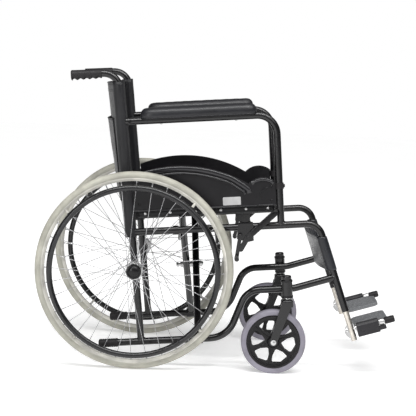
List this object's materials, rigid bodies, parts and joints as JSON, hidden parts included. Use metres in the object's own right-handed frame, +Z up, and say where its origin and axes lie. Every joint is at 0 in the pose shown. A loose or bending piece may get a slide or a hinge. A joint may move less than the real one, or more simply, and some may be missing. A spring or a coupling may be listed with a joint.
{
  "type": "manual wheelchair",
  "caption": "Folding manual wheelchair with a steel frame, spoked push-rim wheels, swivel casters, sling seat, padded arms and flip-up footplates.",
  "frame": {"origin": "on the ground under the middle of the chair, between the wheels", "axes": "+X forward, +Y to the user's left, +Z up"},
  "size_m": [1.1178, 0.663, 0.9152],
  "materials": {
    "frame_black": "gloss powder coat",
    "grip_rubber": "matte moulded rubber",
    "pad_vinyl": "smooth black vinyl with a soft sheen",
    "guard_plastic": "satin moulded plastic",
    "bright_steel": "bright plated steel",
    "slide_steel": "satin plated steel",
    "rim_grey": "grey enamel",
    "tyre_grey": "warm light grey solid tyre",
    "spoke_steel": "bright plated wire",
    "handrim_black": "satin black enamel",
    "caster_plastic": "moulded black plastic",
    "caster_tyre_grey": "mid grey solid tyre",
    "footplate_plastic": "grained grey plastic",
    "upholstery": "black coated fabric with a soft sheen"
  },
  "bodies": {
    "right_frame": {"right_back_post": "frame_black", "right_lower_rail": "frame_black", "right_side_tube": "frame_black", "right_arm_tube": "frame_black", "right_rail_tip": "grip_rubber", "right_push_grip": "grip_rubber", "right_arm_pad": "pad_vinyl", "right_skirt_guard": "guard_plastic", "right_axle": "bright_steel", "right_caster_housing": "frame_black", "right_brake_bracket": "frame_black", "back_sling": "upholstery", "calf_strap": "upholstery"},
    "front_brace": {"front_brace_bar": "frame_black", "left_seat_rail": "frame_black", "pivot_bolt": "bright_steel", "seat_sling": "upholstery"},
    "rear_brace": {"rear_brace_bar": "frame_black", "right_seat_rail": "frame_black"},
    "left_frame": {"left_back_post": "frame_black", "left_lower_rail": "frame_black", "left_side_tube": "frame_black", "left_arm_tube": "frame_black", "left_rail_tip": "grip_rubber", "left_push_grip": "grip_rubber", "left_arm_pad": "pad_vinyl", "left_skirt_guard": "guard_plastic", "left_axle": "bright_steel", "left_caster_housing": "frame_black", "left_brake_bracket": "frame_black"},
    "right_stay": {"right_stay_link": "frame_black"},
    "right_wheel": {"right_rim": "rim_grey", "right_tyre": "tyre_grey", "right_hub": "bright_steel", "right_spokes": "spoke_steel", "right_handrim": "handrim_black"},
    "right_caster_fork": {"right_caster_fork": "frame_black", "right_caster_axle": "bright_steel"},
    "right_caster_wheel": {"right_caster_wheel": "caster_plastic", "right_caster_tyre": "caster_tyre_grey"},
    "right_brake_lever": {"right_brake_lever": "frame_black"},
    "right_brake_shoe": {"right_brake_shoe": "frame_black"},
    "right_footrest": {"right_footrest_tube": "slide_steel", "right_footplate_pin": "bright_steel"},
    "right_footplate": {"right_footplate": "footplate_plastic"},
    "left_stay": {"left_stay_link": "frame_black"},
    "left_wheel": {"left_rim": "rim_grey", "left_tyre": "tyre_grey", "left_hub": "bright_steel", "left_spokes": "spoke_steel", "left_handrim": "handrim_black"},
    "left_caster_fork": {"left_caster_fork": "frame_black", "left_caster_axle": "bright_steel"},
    "left_caster_wheel": {"left_caster_wheel": "caster_plastic", "left_caster_tyre": "caster_tyre_grey"},
    "left_brake_lever": {"left_brake_lever": "frame_black"},
    "left_brake_shoe": {"left_brake_shoe": "frame_black"},
    "left_footrest": {"left_footrest_tube": "slide_steel", "left_footplate_pin": "bright_steel"},
    "left_footplate": {"left_footplate": "footplate_plastic"}
  },
  "joints": [
    {"name": "fold", "type": "hinge", "parent": "right_frame", "child": "front_brace", "pos_m": [-0.04934, -0.235, 0.09198], "axis": [0.9957, 0, 0.0924], "range_deg": [0, 39], "deforming": ["seat_sling", "back_sling", "calf_strap"]},
    {"name": "brace_pivot", "type": "hinge", "parent": "front_brace", "child": "rear_brace", "pos_m": [-0.08344, 0, 0.29169], "axis": [0.9957, 0, 0.0924], "range_deg": [-78, 0]},
    {"name": "left_frame_hinge", "type": "hinge", "parent": "rear_brace", "child": "left_frame", "pos_m": [-0.08021, 0.235, 0.08912], "axis": [0.9957, 0, 0.0924], "range_deg": [0, 39]},
    {"name": "right_stay_hinge", "type": "hinge", "parent": "right_frame", "child": "right_stay", "pos_m": [-0.12295, -0.235, 0.42963], "axis": [0.9957, 0, 0.0924], "range_deg": [0, 95.21]},
    {"name": "right_wheel_spin", "type": "hinge", "parent": "right_frame", "child": "right_wheel", "pos_m": [-0.25389, -0.288, 0.305], "axis": [0, 1, 0], "continuous": true},
    {"name": "right_caster_swivel", "type": "hinge", "parent": "right_frame", "child": "right_caster_fork", "pos_m": [0.22027, -0.2626, 0.23852], "axis": [-0.0924, 0, 0.9957], "continuous": true},
    {"name": "right_caster_roll", "type": "hinge", "parent": "right_caster_fork", "child": "right_caster_wheel", "pos_m": [0.18291, -0.2626, 0.1], "axis": [0, 1, 0], "continuous": true},
    {"name": "right_brake", "type": "hinge", "parent": "right_frame", "child": "right_brake_lever", "pos_m": [0.09002, -0.255, 0.41926], "axis": [0, 1, 0], "range_deg": [0, 32]},
    {"name": "right_brake_shoe_swing", "type": "hinge", "parent": "right_frame", "child": "right_brake_shoe", "pos_m": [0.06657, -0.26, 0.42311], "axis": [0, 1, 0], "range_deg": [0, 3.3]},
    {"name": "right_footrest_slide", "type": "slide", "parent": "right_frame", "child": "right_footrest", "axis": [0.342, 0, -0.9397], "range_m": [-0.03, 0.06]},
    {"name": "right_footplate_flip", "type": "hinge", "parent": "right_footrest", "child": "right_footplate", "pos_m": [0.42452, -0.235, 0.14297], "axis": [0.9548, 0, 0.2974], "range_deg": [0, 90]},
    {"name": "left_stay_hinge", "type": "hinge", "parent": "left_frame", "child": "left_stay", "pos_m": [-0.06997, 0.235, 0.43454], "axis": [0.9957, 0, 0.0924], "range_deg": [-95.21, 0]},
    {"name": "left_wheel_spin", "type": "hinge", "parent": "left_frame", "child": "left_wheel", "pos_m": [-0.25389, 0.288, 0.305], "axis": [0, 1, 0], "continuous": true},
    {"name": "left_caster_swivel", "type": "hinge", "parent": "left_frame", "child": "left_caster_fork", "pos_m": [0.22027, 0.2626, 0.23852], "axis": [-0.0924, 0, 0.9957], "continuous": true},
    {"name": "left_caster_roll", "type": "hinge", "parent": "left_caster_fork", "child": "left_caster_wheel", "pos_m": [0.18291, 0.2626, 0.1], "axis": [0, 1, 0], "continuous": true},
    {"name": "left_brake", "type": "hinge", "parent": "left_frame", "child": "left_brake_lever", "pos_m": [0.09002, 0.255, 0.41926], "axis": [0, 1, 0], "range_deg": [0, 32]},
    {"name": "left_brake_shoe_swing", "type": "hinge", "parent": "left_frame", "child": "left_brake_shoe", "pos_m": [0.06657, 0.26, 0.42311], "axis": [0, 1, 0], "range_deg": [0, 3.3]},
    {"name": "left_footrest_slide", "type": "slide", "parent": "left_frame", "child": "left_footrest", "axis": [0.342, 0, -0.9397], "range_m": [-0.03, 0.06]},
    {"name": "left_footplate_flip", "type": "hinge", "parent": "left_footrest", "child": "left_footplate", "pos_m": [0.42452, 0.235, 0.14297], "axis": [0.9548, 0, 0.2974], "range_deg": [-90, 0]}
  ],
  "couplings": [
    {"joint": "brace_pivot", "follows": "fold", "ratio": -2},
    {"joint": "left_frame_hinge", "follows": "fold", "ratio": 1},
    {"joint": "right_stay_hinge", "follows": "fold", "ratio": 2.4412},
    {"joint": "right_brake_shoe_swing", "follows": "right_brake", "ratio": 0.10312},
    {"joint": "right_footplate_flip", "follows": "fold", "ratio": 2.3077},
    {"joint": "left_stay_hinge", "follows": "fold", "ratio": -2.4412},
    {"joint": "left_brake_shoe_swing", "follows": "left_brake", "ratio": 0.10312},
    {"joint": "left_footplate_flip", "follows": "fold", "ratio": -2.3077}
  ]
}
